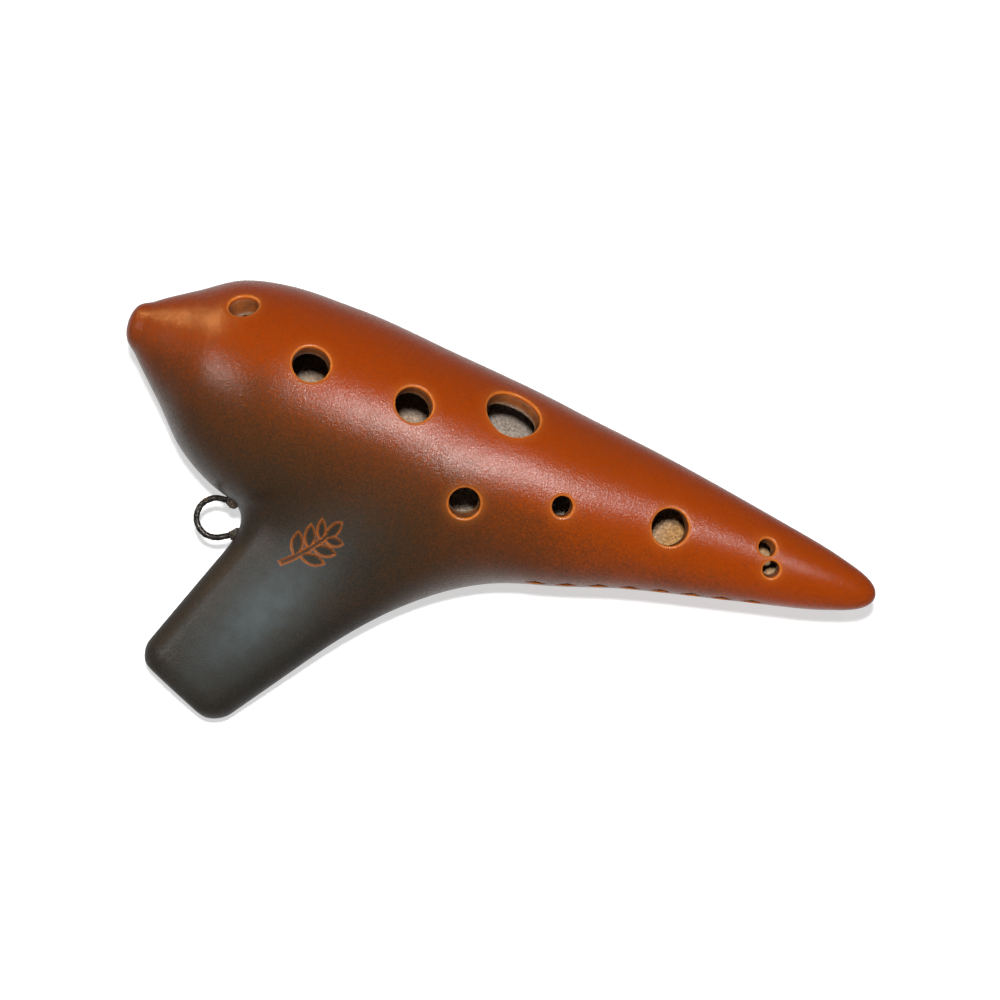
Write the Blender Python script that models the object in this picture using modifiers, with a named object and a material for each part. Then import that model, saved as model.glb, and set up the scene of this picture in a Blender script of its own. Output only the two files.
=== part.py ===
"""Transverse ceramic ocarina, soprano size, ten fingerings.

Two press-moulded clay halves meet on a seam plane through the body's axis. The front half has nine
finger holes. The back half has two thumb holes, the windway's trough and the window with its sharp
edge. A fipple block of the same clay roofs the windway, and an iron wire loop in the crook of the
mouthpiece carries a neck cord.

Design axes, in millimetres: X along the body from nose to tail, Y across it, away from the
mouthpiece, and Z out of the finger holes. The seam is Z = 0 and the nose's tip is X = 0. At the
end an empty turns it all to the way the ocarina lies on a table, centred over the origin.
"""

import math

import bmesh
import bpy
import numpy as np
from mathutils import Matrix, Vector

MM = 0.001

# Body: length, greatest radius, and how its round sections follow each other from nose to tail.
BODY_LENGTH = 125.0
BODY_RADIUS = 17.7
# (share of the length, middle of the section in Y and its radius, as shares of BODY_RADIUS)
BODY_SECTIONS = (
    (0.000, 0.048, 0.000),
    (0.024, 0.027, 0.260),
    (0.072, -0.022, 0.537),
    (0.120, -0.079, 0.808),
    (0.176, -0.138, 0.958),
    (0.264, -0.166, 1.000),
    (0.400, -0.166, 0.927),
    (0.560, -0.166, 0.814),
    (0.704, -0.085, 0.605),
    (0.840, -0.047, 0.410),
    (0.944, -0.025, 0.246),
    (1.000, -0.011, 0.000),
)
NOSE_TIP_RADIUS = 7.0
TAIL_TIP_RADIUS = 1.9

# Walls of the moulded halves.
WALL = 3.5
TAIL_PLUG = 13.0
SEAM_GAP = 0.3

# Mouthpiece: a flattened bar that leans toward the nose and swells toward the body. Its reach is
# what stands out of the body's side, and its length runs on to the body's centre line.
MOUTH_ROOT = 0.416 * BODY_LENGTH
MOUTH_LEAN = math.radians(62.3)
MOUTH_REACH = 37.3
MOUTH_LENGTH = MOUTH_REACH + BODY_RADIUS
MOUTH_WIDTH = 16.3
MOUTH_WIDENING = 0.13
MOUTH_DEPTH = 11.4
MOUTH_DEEPENING = 0.09
MOUTH_EDGE_RADIUS = 3.7
MOUTH_END_SKEW = math.radians(-5.0)
CROOK_BLEND = 6.0
WEB_BLEND = 15.0

# Windway, from the blowing end to the window, and the window with its edge, on the back half.
WINDWAY_WIDTH = 8.4
WINDWAY_HEIGHT = 1.4
WINDWAY_DEPTH_AT_END = MOUTH_DEPTH / 6
WINDWAY_DEPTH_AT_WINDOW = MOUTH_DEPTH / 2 + 2.5
WINDWAY_OVERLAP = 0.4
WINDOW_START = 33.0
WINDOW_LENGTH = 5.0
EDGE_THICKNESS = 0.4
EDGE_RAMP_ANGLE = math.radians(42.0)
EDGE_RAMP_LENGTH = 16.0
EDGE_RAMP_MARGIN = 1.2
THROAT_LENGTH = 19.0
THROAT_MARGIN = 0.6
WINDOW_MARGIN = 0.2
END_TRIM = 0.2

# Fipple block, bedded in a pocket above the windway.
BLOCK_START = 3.5
BLOCK_SHOULDER = 1.6
BLOCK_RISE = 2.6
BLOCK_CLEARANCE = 0.3

# Holes: name, share of the body's length, degrees round the body from the side they face toward
# the side away from the mouthpiece, bore.
FINGER_HOLES = (
    ("little_left", 0.134, 45.0, 4.6),
    ("ring_left", 0.240, 23.0, 5.8),
    ("middle_left", 0.376, 23.0, 5.8),
    ("index_left", 0.495, 43.5, 8.6),
    ("index_right", 0.476, -19.0, 4.8),
    ("middle_right", 0.591, -3.0, 3.2),
    ("ring_right", 0.726, 3.0, 5.8),
    ("little_right", 0.849, 19.0, 2.7),
    ("little_right_split", 0.863, -8.0, 2.6),
)
THUMB_HOLES = (
    ("thumb_left", 0.330, 12.0, 6.6),
    ("thumb_right", 0.660, 6.0, 5.4),
)
RIM_CHAMFER = 0.35

# Wire loop in the crook. Its middle is set from the blowing end, up and across the mouthpiece.
WIRE_DIAMETER = 1.0
LOOP_RADIUS = 3.1
LOOP_UP = 23.4
LOOP_ACROSS = -15.6
LOOP_FROM = math.radians(97.0)
LOOP_TO = math.radians(300.0)
UPPER_LEG = 4.6
LOWER_LEG = 5.2
LEG_CLEARANCE = 0.3
WIRE_CLEARANCE = 0.25
COLLAR_RADIUS = 1.6

# The way it rests: the tail and the mouthpiece come down until they touch the table.
REST_PITCH = math.radians(0.7)
REST_ROLL = math.radians(14.5)

# How finely the shapes are faceted and solved.
SKIN_STEP = 2.3
CHAMBER_STEP = 3.0
HOLE_SIDES = 24
LOOP_SIDES = 24
HALVINGS = 40
NUDGE = 0.02
LEAST_BODY_SLOPE = 2.0
LEAST_SLOPE_SQUARED = 0.05


# --- The clay's shape, as a distance in millimetres that is negative inside ---


def smooth_through(stations, values, at, first_slope=None, last_slope=None):
    """A smooth curve through values at stations, straight beyond the ends."""
    stations, values = np.asarray(stations), np.asarray(values)
    step = np.diff(stations)
    rise = np.diff(values) / step
    slope = np.concatenate([rise[:1], rise[:1], rise[1:]])
    inner = (step[1:] * rise[:-1] + step[:-1] * rise[1:]) / (step[1:] + step[:-1])
    slope[1:-1] = np.where(rise[1:] * rise[:-1] > 0, inner, 0.0)
    slope[0] = rise[0] if first_slope is None else first_slope
    slope[-1] = rise[-1] if last_slope is None else last_slope
    i = np.clip(np.searchsorted(stations, at) - 1, 0, len(step) - 1)
    t = (at - stations[i]) / step[i]
    c = np.clip(t, 0.0, 1.0)
    start, end = slope[i] * step[i], slope[i + 1] * step[i]
    inside = (
        (2 * c**3 - 3 * c**2 + 1) * values[i]
        + (c**3 - 2 * c**2 + c) * start
        + (3 * c**2 - 2 * c**3) * values[i + 1]
        + (c**3 - c**2) * end
    )
    return inside + np.minimum(t, 0.0) * start + np.maximum(t - 1.0, 0.0) * end


def body_middle(x):
    """Y of the body's centre line at x."""
    share, middle, _ = np.array(BODY_SECTIONS).T
    return smooth_through(share * BODY_LENGTH, middle * BODY_RADIUS, x)


def body_radius_squared(x):
    """The section's radius squared at x. The square has a plain slope at a round tip."""
    share, _, radius = np.array(BODY_SECTIONS).T
    squares = (radius * BODY_RADIUS) ** 2
    return smooth_through(
        share * BODY_LENGTH, squares, x, 2 * NOSE_TIP_RADIUS, -2 * TAIL_TIP_RADIUS
    )


def body_distance(p):
    x, y, z = p.T
    off = y - body_middle(x)
    square = body_radius_squared(x)
    bend = (body_middle(x + NUDGE) - body_middle(x)) / NUDGE
    along = -2 * off * bend - (body_radius_squared(x + NUDGE) - square) / NUDGE
    slope = np.sqrt(along**2 + 4 * off**2 + 4 * z**2)
    return (off**2 + z**2 - square) / np.maximum(slope, LEAST_BODY_SLOPE)


def mouth_axes():
    """The blowing end's middle, and the ways up and across the mouthpiece."""
    up = np.array([math.cos(MOUTH_LEAN), math.sin(MOUTH_LEAN), 0.0])
    across = np.array([up[1], -up[0], 0.0])
    root = np.array([MOUTH_ROOT, float(body_middle(np.array([MOUTH_ROOT]))[0]), 0.0])
    return root - MOUTH_LENGTH * up, up, across


def mouth_place(up_by, across_by, z):
    """The point that far up and across the mouthpiece from its blowing end."""
    end, up, across = mouth_axes()
    return Vector(end + up_by * up + across_by * across + np.array([0.0, 0.0, z]))


def mouth_coordinates(p):
    end, up, across = mouth_axes()
    return (p - end) @ up, (p - end) @ across


def mouth_distance(p):
    s, t = mouth_coordinates(p)
    half_width = MOUTH_WIDTH / 2 + MOUTH_WIDENING * s - MOUTH_EDGE_RADIUS
    half_depth = MOUTH_DEPTH / 2 + MOUTH_DEEPENING * s - MOUTH_EDGE_RADIUS
    beyond_end = MOUTH_EDGE_RADIUS - s - math.tan(MOUTH_END_SKEW) * t
    beyond_root = s - MOUTH_LENGTH + MOUTH_EDGE_RADIUS
    over = np.stack(
        [
            np.abs(t) - half_width,
            np.abs(p[:, 2]) - half_depth,
            np.maximum(beyond_end, beyond_root),
        ]
    )
    outside = np.sqrt((np.maximum(over, 0.0) ** 2).sum(axis=0))
    return outside + np.minimum(over.max(axis=0), 0.0) - MOUTH_EDGE_RADIUS


def blend(a, b, reach):
    """The lesser of two distances, with a fillet where they are within reach of each other."""
    h = np.maximum(reach - np.abs(a - b), 0.0) / reach
    return np.minimum(a, b) - h**2 * reach / 4


def clay_distance(p):
    """The outside of the whole ocarina: a tight fillet in the crook, a long one to the tail."""
    _, t = mouth_coordinates(p)
    side = 0.5 + 0.5 * np.tanh(t / MOUTH_WIDTH * 2)
    reach = CROOK_BLEND + (WEB_BLEND - CROOK_BLEND) * side
    return blend(body_distance(p), mouth_distance(p), reach)


def chamber_distance(p):
    """The hollow: the body's shape a wall's thickness in, stopped short of the tail."""
    hollow = body_distance(p) + WALL
    plug = p[:, 0] - (BODY_LENGTH - TAIL_PLUG)
    return -blend(-hollow, -plug, 2 * WALL)


def slopes(distance, p):
    """The gradient of a distance at each point."""
    steps = NUDGE * np.eye(3)
    return np.stack([(distance(p + d) - distance(p - d)) / (2 * NUDGE) for d in steps], axis=1)


def clay_crossing(inside, outside):
    """Where the line between a point in the clay and one outside it passes the surface."""
    for _ in range(HALVINGS):
        half = (inside + outside) / 2
        if clay_distance(half[None])[0] < 0:
            inside = half
        else:
            outside = half
    return inside


def surface_point(x, around):
    """Where a ray from the body's centre line leaves the clay, and the outward normal there."""
    middle = np.array([x, float(body_middle(np.array([x]))[0]), 0.0])
    ray = np.array([0.0, math.sin(around), math.cos(around)])
    place = clay_crossing(middle, middle + 2 * BODY_RADIUS * ray)
    return Vector(place), Vector(slopes(clay_distance, place[None])[0]).normalized()


# --- Building meshes ---


def collection(name):
    made = bpy.data.collections.new(name)
    bpy.context.scene.collection.children.link(made)
    return made


def add_object(name, mesh, where, parent):
    obj = bpy.data.objects.new(name, mesh)
    obj.parent = parent
    where.objects.link(obj)
    return obj


def mesh_from(bm, name):
    bmesh.ops.recalc_face_normals(bm, faces=bm.faces)
    mesh = bpy.data.meshes.new(name)
    bm.to_mesh(mesh)
    bm.free()
    return mesh


def to_mesh_object(obj):
    """The object's evaluated shape as a plain mesh object in its place."""
    graph = bpy.context.evaluated_depsgraph_get()
    mesh = bpy.data.meshes.new_from_object(obj.evaluated_get(graph))
    bm = bmesh.new()
    bm.from_mesh(mesh)
    bmesh.ops.remove_doubles(bm, verts=bm.verts, dist=1e-6)
    bmesh.ops.recalc_face_normals(bm, faces=bm.faces)
    bm.to_mesh(mesh)
    bm.free()
    name, where, parent = obj.name, obj.users_collection[0], obj.parent
    placed = obj.matrix_basis.copy()
    bpy.data.objects.remove(obj)
    made = add_object(name, mesh, where, parent)
    made.matrix_basis = placed
    return made


def add_body_hull(bm, inset, start, end):
    """A round hull that follows the body's centre line and sections."""
    made = bmesh.ops.create_uvsphere(bm, u_segments=32, v_segments=48, radius=1.0)["verts"]
    for v in made:
        x = start + (end - start) * (1 - v.co.z) / 2
        ring = Vector((0.0, v.co.x, v.co.y))
        ring = ring.normalized() if ring.length > 1e-6 else ring
        radius = math.sqrt(max(float(body_radius_squared(np.array([x]))[0]), 0.0)) - inset
        middle = Vector((x, float(body_middle(np.array([x]))[0]), 0.0))
        v.co = (middle + ring * max(radius, 0.5)) * MM


def add_mouth_bar(bm):
    """A plain bar along the mouthpiece, from its blowing end to the body's centre line."""
    for v in bmesh.ops.create_cube(bm, size=2.0)["verts"]:
        s = MOUTH_LENGTH * (v.co.x + 1) / 2
        half_width = MOUTH_WIDTH / 2 + MOUTH_WIDENING * s
        half_depth = MOUTH_DEPTH / 2 + MOUTH_DEEPENING * s
        v.co = mouth_place(s, v.co.y * half_width, v.co.z * half_depth) * MM


def settle(mesh, distance, rounds=12):
    """Spreads the vertices evenly and brings them on to the surface where the distance is zero."""
    p = np.empty(len(mesh.vertices) * 3)
    mesh.vertices.foreach_get("co", p)
    p = p.reshape(-1, 3) / MM
    ends = np.empty(len(mesh.edges) * 2, int)
    mesh.edges.foreach_get("vertices", ends)
    a, b = ends.reshape(-1, 2).T
    count = np.bincount(np.concatenate([a, b]), minlength=len(p))[:, None]
    for turn in range(rounds):
        if turn < rounds - 3:
            total = np.zeros_like(p)
            np.add.at(total, a, p[b])
            np.add.at(total, b, p[a])
            p = (p + total / count) / 2
        slope = slopes(distance, p)
        steep = np.maximum((slope**2).sum(axis=1), LEAST_SLOPE_SQUARED)
        p = p - slope * (distance(p) / steep)[:, None]
    mesh.vertices.foreach_set("co", (p * MM).ravel())
    mesh.update()


def form(name, bm, distance, step, where, parent):
    """An even closed skin on the surface where the distance is zero, from rough overlapping hulls."""
    obj = add_object(name, mesh_from(bm, name), where, parent)
    remesh = obj.modifiers.new("Even", "REMESH")
    remesh.mode = "VOXEL"
    remesh.voxel_size = step * MM
    obj = to_mesh_object(obj)
    settle(obj.data, distance)
    return obj


def clay_form(name, where, parent):
    bm = bmesh.new()
    add_body_hull(bm, 0.0, 0.0, BODY_LENGTH)
    add_mouth_bar(bm)
    return form(name, bm, clay_distance, SKIN_STEP, where, parent)


def clear_form(where, parent):
    """The clay's outside with the gap that touching pieces keep."""
    bm = bmesh.new()
    add_body_hull(bm, 0.0, 0.0, BODY_LENGTH)
    add_mouth_bar(bm)
    away = lambda p: clay_distance(p) - SEAM_GAP
    return form("clear_of_clay", bm, away, SKIN_STEP, where, parent)


def chamber_form(where, parent):
    bm = bmesh.new()
    add_body_hull(bm, WALL, WALL, BODY_LENGTH - TAIL_PLUG)
    return form("chamber", bm, chamber_distance, CHAMBER_STEP, where, parent)


def mouth_box(name, s_range, half_width, z_at_start, z_at_end, where, parent, skew=0.0):
    """A box along the mouthpiece. Its low and high faces may slope, and its far end may be skewed."""
    bm = bmesh.new()
    for v in bmesh.ops.create_cube(bm, size=2.0)["verts"]:
        far = v.co.x > 0
        t = v.co.y * half_width
        s = s_range[far] - (math.tan(skew) * t if far else 0.0)
        z = (z_at_end if far else z_at_start)[v.co.z > 0]
        v.co = mouth_place(s, t, z) * MM
    return add_object(name, mesh_from(bm, name), where, parent)


def turned(name, profile, place, normal, where, parent):
    """A turned solid whose profile, radius and height, starts and ends on its axis."""
    bm = bmesh.new()
    verts = [bm.verts.new((r * MM, 0.0, h * MM)) for r, h in profile]
    for first, second in zip(verts, verts[1:]):
        bm.edges.new((first, second))
    mesh = bpy.data.meshes.new(name)
    bm.to_mesh(mesh)
    bm.free()
    obj = add_object(name, mesh, where, parent)
    screw = obj.modifiers.new("Turn", "SCREW")
    screw.steps = screw.render_steps = HOLE_SIDES
    screw.use_merge_vertices = True
    screw.merge_threshold = 1e-6
    screw.use_normal_calculate = True
    obj.location = place * MM
    obj.rotation_mode = "QUATERNION"
    obj.rotation_quaternion = normal.to_track_quat("Z", "Y")
    return to_mesh_object(obj)


def hole_cutter(name, share, degrees, bore, back, where, parent):
    around = math.radians(180.0 - degrees if back else degrees)
    place, normal = surface_point(share * BODY_LENGTH, around)
    rim = bore / 2 + RIM_CHAMFER
    profile = (
        (0.0, WALL),
        (rim + WALL, WALL),
        (bore / 2, -RIM_CHAMFER),
        (bore / 2, -2 * WALL),
        (0.0, -2 * WALL),
    )
    return turned("hole_" + name, profile, place, normal, where, parent)


def windway_depth(s):
    """How far behind the seam the windway's middle lies."""
    share = s / WINDOW_START
    return WINDWAY_DEPTH_AT_END + (WINDWAY_DEPTH_AT_WINDOW - WINDWAY_DEPTH_AT_END) * share


def loop_path(longer=0.0):
    """The wire's centre line: one leg in the clay, the ring round the outside, the other leg."""
    centre = mouth_place(LOOP_UP, LOOP_ACROSS, 0.0)
    turns = np.linspace(LOOP_FROM, LOOP_TO, LOOP_SIDES + 1)
    ring = [centre + LOOP_RADIUS * Vector((math.cos(a), math.sin(a), 0.0)) for a in turns]
    into_upper = Vector((math.sin(LOOP_FROM), -math.cos(LOOP_FROM), 0.0))
    into_lower = Vector((-math.sin(LOOP_TO), math.cos(LOOP_TO), 0.0))
    upper_end = ring[0] + into_upper * (UPPER_LEG + longer)
    return [upper_end] + ring + [ring[-1] + into_lower * (LOWER_LEG + longer)]


def wire(name, radius, longer, where, parent):
    curve = bpy.data.curves.new(name, "CURVE")
    curve.dimensions = "3D"
    curve.bevel_depth = radius * MM
    curve.bevel_resolution = 2
    curve.use_fill_caps = True
    path = loop_path(longer)
    spline = curve.splines.new("POLY")
    spline.points.add(len(path) - 1)
    for point, place in zip(spline.points, path):
        point.co = (*(place * MM), 1.0)
    return to_mesh_object(add_object(name, curve, where, parent))


def collar(name, leg_end, leg_start, clearance_form, wire_cutter, where, parent):
    """A pellet of slip round the wire where a leg enters the clay, trimmed clear of both."""
    place = clay_crossing(np.array(leg_end), np.array(leg_start))
    bm = bmesh.new()
    bmesh.ops.create_uvsphere(bm, u_segments=20, v_segments=12, radius=COLLAR_RADIUS * MM)
    bmesh.ops.translate(bm, verts=bm.verts, vec=Vector(place) * MM)
    obj = add_object(name, mesh_from(bm, name), where, parent)
    boolean(obj, "DIFFERENCE", clearance_form)
    boolean(obj, "DIFFERENCE", wire_cutter)
    return obj


def boolean(obj, operation, other, solver="EXACT"):
    cut = obj.modifiers.new(other.name, "BOOLEAN")
    cut.operation = operation
    cut.solver = solver
    cut.object = other


def material(name, colour, roughness, metallic=0.0):
    made = bpy.data.materials.new(name)
    made.use_nodes = True
    shader = made.node_tree.nodes["Principled BSDF"]
    shader.inputs["Base Color"].default_value = (*colour, 1.0)
    shader.inputs["Roughness"].default_value = roughness
    shader.inputs["Metallic"].default_value = metallic
    made.diffuse_color = (*colour, 1.0)
    return made


# --- The pieces ---


def seam_half(name, up, where, parent):
    """The space on one side of the seam, half the seam's gap away from it."""
    bm = bmesh.new()
    size = 3 * BODY_LENGTH
    bmesh.ops.create_cube(bm, size=size * MM)
    lift = (size / 2 + SEAM_GAP / 2) * (1 if up else -1)
    bmesh.ops.translate(bm, verts=bm.verts, vec=Vector((BODY_LENGTH / 2, 0.0, lift)) * MM)
    return add_object(name, mesh_from(bm, name), where, parent)


def windway_heights(s):
    """The windway's floor and roof at s, measured from the seam."""
    middle = -windway_depth(s)
    return middle - WINDWAY_HEIGHT / 2, middle + WINDWAY_HEIGHT / 2


def windway_cutters(where, parent):
    """What the back half loses so that air can run from the blowing end past the edge, and the
    ramp that leads out from the edge."""
    half_width = WINDWAY_WIDTH / 2
    before, after = -MOUTH_EDGE_RADIUS, WINDOW_START + WINDWAY_OVERLAP
    trough = mouth_box(
        "windway",
        (before, after),
        half_width,
        windway_heights(before),
        windway_heights(after),
        where,
        parent,
    )
    edge = -WINDWAY_DEPTH_AT_WINDOW + EDGE_THICKNESS / 2
    throat_end = WINDOW_START + THROAT_LENGTH
    throat = mouth_box(
        "throat",
        (WINDOW_START - WINDWAY_OVERLAP / 2, throat_end),
        half_width + THROAT_MARGIN,
        (edge, SEAM_GAP),
        (edge, SEAM_GAP),
        where,
        parent,
    )
    outside = -2 * BODY_RADIUS
    window_end = WINDOW_START + WINDOW_LENGTH
    window = mouth_box(
        "window",
        (WINDOW_START, window_end),
        half_width + WINDOW_MARGIN,
        (outside, edge + WINDWAY_OVERLAP),
        (outside, edge + WINDWAY_OVERLAP),
        where,
        parent,
    )
    ramp_top = edge - EDGE_THICKNESS
    ramp_drop = EDGE_RAMP_LENGTH * math.tan(EDGE_RAMP_ANGLE)
    ramp = mouth_box(
        "ramp",
        (window_end - WINDWAY_OVERLAP, window_end + EDGE_RAMP_LENGTH),
        half_width + EDGE_RAMP_MARGIN,
        (outside, ramp_top),
        (outside, ramp_top - ramp_drop),
        where,
        parent,
    )
    return [trough, throat, window], ramp


def block_box(name, gap, where, parent):
    """The fipple block, or with a gap the pocket it is bedded in."""
    start, end = BLOCK_START - gap, WINDOW_START + gap
    half_width = WINDWAY_WIDTH / 2 + BLOCK_SHOULDER + gap
    heights = [(windway_heights(s)[1] - gap / 2, BLOCK_RISE + gap) for s in (start, end)]
    return mouth_box(name, (start, end), half_width, *heights, where, parent)


def build():
    for obj in list(bpy.data.objects):
        bpy.data.objects.remove(obj)
    parts, cutters = collection("ocarina"), collection("cutters")
    rest = bpy.data.objects.new("rest", None)
    parts.objects.link(rest)

    front = clay_form("front_shell", parts, rest)
    back = add_object("back_shell", front.data.copy(), parts, rest)
    chamber = chamber_form(cutters, rest)
    pocket = block_box("block_pocket", BLOCK_CLEARANCE, cutters, rest)
    wire_bore = wire(
        "wire_bore", WIRE_DIAMETER / 2 + WIRE_CLEARANCE, LEG_CLEARANCE, cutters, rest
    )
    trim = mouth_box(
        "end_trim",
        (-MOUTH_EDGE_RADIUS, END_TRIM),
        MOUTH_WIDTH,
        (-MOUTH_DEPTH, MOUTH_DEPTH),
        (-MOUTH_DEPTH, MOUTH_DEPTH),
        cutters,
        rest,
        MOUTH_END_SKEW,
    )
    shared = [chamber, pocket, wire_bore, trim]
    fingers = [hole_cutter(*hole, False, cutters, rest) for hole in FINGER_HOLES]
    thumbs = [hole_cutter(*hole, True, cutters, rest) for hole in THUMB_HOLES]
    airway, ramp = windway_cutters(cutters, rest)
    for shell, up, own in ((front, True, fingers), (back, False, thumbs + airway)):
        boolean(shell, "INTERSECT", seam_half(shell.name + "_side", up, cutters, rest))
        for cutter in shared + own:
            boolean(shell, "DIFFERENCE", cutter)
    # The ramp thins the clay to the sharp edge, where the exact solver fails on a wider body.
    boolean(back, "DIFFERENCE", ramp, "MANIFOLD")

    block = block_box("fipple_block", 0.0, parts, rest)
    loop = wire("lanyard_loop", WIRE_DIAMETER / 2, 0.0, parts, rest)
    clear = clear_form(cutters, rest)
    path = loop_path()
    collar_bore = wire("collar_bore", WIRE_DIAMETER / 2 + SEAM_GAP, SEAM_GAP, cutters, rest)
    legs = {"upper": path[:2], "lower": path[:-3:-1]}
    collars = [
        collar("loop_collar_" + name, *leg, clear, collar_bore, parts, rest)
        for name, leg in legs.items()
    ]

    stained = material("stained_clay", (0.36, 0.095, 0.018), 0.42)
    bare = material("bare_clay", (0.55, 0.27, 0.12), 0.85)
    iron = material("dark_iron", (0.045, 0.042, 0.038), 0.4, 0.9)
    slip = material("stained_slip", (0.07, 0.055, 0.042), 0.6)
    surfaces = {stained: [front, back], bare: [block], iron: [loop], slip: collars}
    for surface, objects in surfaces.items():
        for obj in objects:
            obj.data.materials.clear()
            obj.data.materials.append(surface)
    for obj in cutters.objects:
        obj.hide_render = True
        obj.display_type = "WIRE"
    set_down(rest, [front, back, loop])


def set_down(rest, outermost):
    """Turns it to the way it lies and puts the middle of its base on the origin."""
    turn = Matrix.Rotation(REST_PITCH, 4, "Y") @ Matrix.Rotation(REST_ROLL, 4, "X")
    graph = bpy.context.evaluated_depsgraph_get()
    shapes = [obj.evaluated_get(graph).data for obj in outermost]
    corners = np.array([turn @ v.co for shape in shapes for v in shape.vertices])
    low, high = corners.min(axis=0), corners.max(axis=0)
    middle = Vector(((low[0] + high[0]) / 2, (low[1] + high[1]) / 2, low[2]))
    rest.matrix_world = Matrix.Translation(-middle) @ turn


build()
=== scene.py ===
"""The looks of a smoke-stained ceramic ocarina, built round its CAD frame.

The clay's outside, hollow, holes, windway and pressed marks are one distance field in design
axes and millimetres: X from nose to tail, Y away from the mouthpiece, Z out of the finger holes,
seam at Z = 0. Each half is a fine skin on that field.
"""

import itertools
import math

import bmesh
import bpy
import numpy as np
from mathutils import Matrix, Vector


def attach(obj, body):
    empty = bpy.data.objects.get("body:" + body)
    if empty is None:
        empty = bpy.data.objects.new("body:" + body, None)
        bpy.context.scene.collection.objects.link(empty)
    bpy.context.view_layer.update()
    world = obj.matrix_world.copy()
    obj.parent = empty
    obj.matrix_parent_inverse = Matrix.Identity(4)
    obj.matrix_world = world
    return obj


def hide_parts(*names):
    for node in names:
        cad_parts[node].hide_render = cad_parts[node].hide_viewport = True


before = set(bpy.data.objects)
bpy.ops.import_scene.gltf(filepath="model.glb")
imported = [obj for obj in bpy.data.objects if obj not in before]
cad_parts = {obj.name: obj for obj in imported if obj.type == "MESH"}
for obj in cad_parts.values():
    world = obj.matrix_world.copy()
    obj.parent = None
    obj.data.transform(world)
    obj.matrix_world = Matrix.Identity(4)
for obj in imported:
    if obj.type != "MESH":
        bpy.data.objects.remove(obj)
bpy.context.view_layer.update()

MM = 0.001

# --- Sizes, the same as the CAD part's ---

BODY_LENGTH = 125.0
BODY_RADIUS = 17.7
# (share of the length, middle of the section in Y and its radius, as shares of BODY_RADIUS)
BODY_SECTIONS = (
    (0.000, 0.048, 0.000),
    (0.024, 0.027, 0.260),
    (0.072, -0.022, 0.537),
    (0.120, -0.079, 0.808),
    (0.176, -0.138, 0.958),
    (0.264, -0.166, 1.000),
    (0.400, -0.166, 0.927),
    (0.560, -0.166, 0.814),
    (0.704, -0.085, 0.605),
    (0.840, -0.047, 0.410),
    (0.944, -0.025, 0.246),
    (1.000, -0.011, 0.000),
)
NOSE_TIP_RADIUS = 7.0
TAIL_TIP_RADIUS = 1.9
WALL = 3.5
TAIL_PLUG = 13.0
MOUTH_ROOT = 0.416 * BODY_LENGTH
MOUTH_LEAN = math.radians(62.3)
MOUTH_LENGTH = 55.0
MOUTH_WIDTH = 16.3
MOUTH_WIDENING = 0.13
MOUTH_DEPTH = 11.4
MOUTH_DEEPENING = 0.09
MOUTH_EDGE_RADIUS = 3.7
MOUTH_END_SKEW = math.radians(-5.0)
CROOK_BLEND = 6.0
WEB_BLEND = 15.0
WINDWAY_WIDTH = 8.4
WINDWAY_HEIGHT = 1.4
WINDWAY_DEPTH_AT_END = 1.9
WINDWAY_DEPTH_AT_WINDOW = 8.2
WINDOW_START = 33.0
WINDOW_LENGTH = 5.0
EDGE_THICKNESS = 0.4
EDGE_RAMP_SLOPE = 0.88
THROAT_LENGTH = 19.0
THROAT_TOP = 0.7
WINDWAY_OVERLAP = 0.4
THROAT_MARGIN, WINDOW_MARGIN, RAMP_MARGIN = 0.6, 0.2, 1.2
# Turns a height over the ramp into a distance from it.
RAMP_EVEN = 0.75
END_TRIM = 0.2
BLOCK_START = 3.5
BLOCK_SHOULDER = 1.6
BLOCK_RISE = 2.6
BLOCK_CLEARANCE = 0.3
# Name, share of the length, degrees round the body, bore.
FINGER_HOLES = (
    ("little_left", 0.134, 45.0, 4.6),
    ("ring_left", 0.240, 23.0, 5.8),
    ("middle_left", 0.376, 23.0, 5.8),
    ("index_left", 0.495, 43.5, 8.6),
    ("index_right", 0.476, -19.0, 4.8),
    ("middle_right", 0.591, -3.0, 3.2),
    ("ring_right", 0.726, 3.0, 5.8),
    ("little_right", 0.849, 19.0, 2.7),
    ("little_right_split", 0.863, -8.0, 2.6),
)
THUMB_HOLES = (
    ("thumb_left", 0.330, 168.0, 6.6),
    ("thumb_right", 0.660, 174.0, 5.4),
)
WIRE_DIAMETER = 1.0
LOOP_RADIUS = 3.1
LOOP_UP = 23.4
LOOP_ACROSS = -15.6
LOOP_FROM = math.radians(97.0)
LOOP_TO = math.radians(300.0)
UPPER_LEG = 4.6
LOWER_LEG = 5.2
COLLAR_RADIUS = 1.6

# How it lies: turned this far, then shifted so that its base is centred on the origin.
REST_PITCH = math.radians(0.7)
REST_ROLL = math.radians(14.5)
REST_TURN = Matrix.Rotation(REST_PITCH, 3, "Y") @ Matrix.Rotation(REST_ROLL, 3, "X")
REST_SHIFT = Vector((-0.062511, 0.018847, 0.018847))

# --- Finer detail that the CAD leaves out ---

# The wall is this much thicker at the nose, and no thicker beyond this place.
NOSE_WALL, NOSE_WALL_END = 4.2, 25.0
# The mouthpiece's faces fall this much to its sides, and this much to its end from its highest.
MOUTH_CROWN = 1.7
MOUTH_SAG = 0.6
MOUTH_HIGHEST = 22.0
RIM_ROUND = 0.6
EDGE_ROUND = 0.5
AIRWAY_ROUND = 0.25
MARK_DEPTH = 0.42
MARK_SLOPE = 0.16
SPRIG_MIDDLE = (39.2, -22.6)
SPRIG_LEAN = math.radians(52.0)
SPRIG_BOW = 0.02
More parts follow.
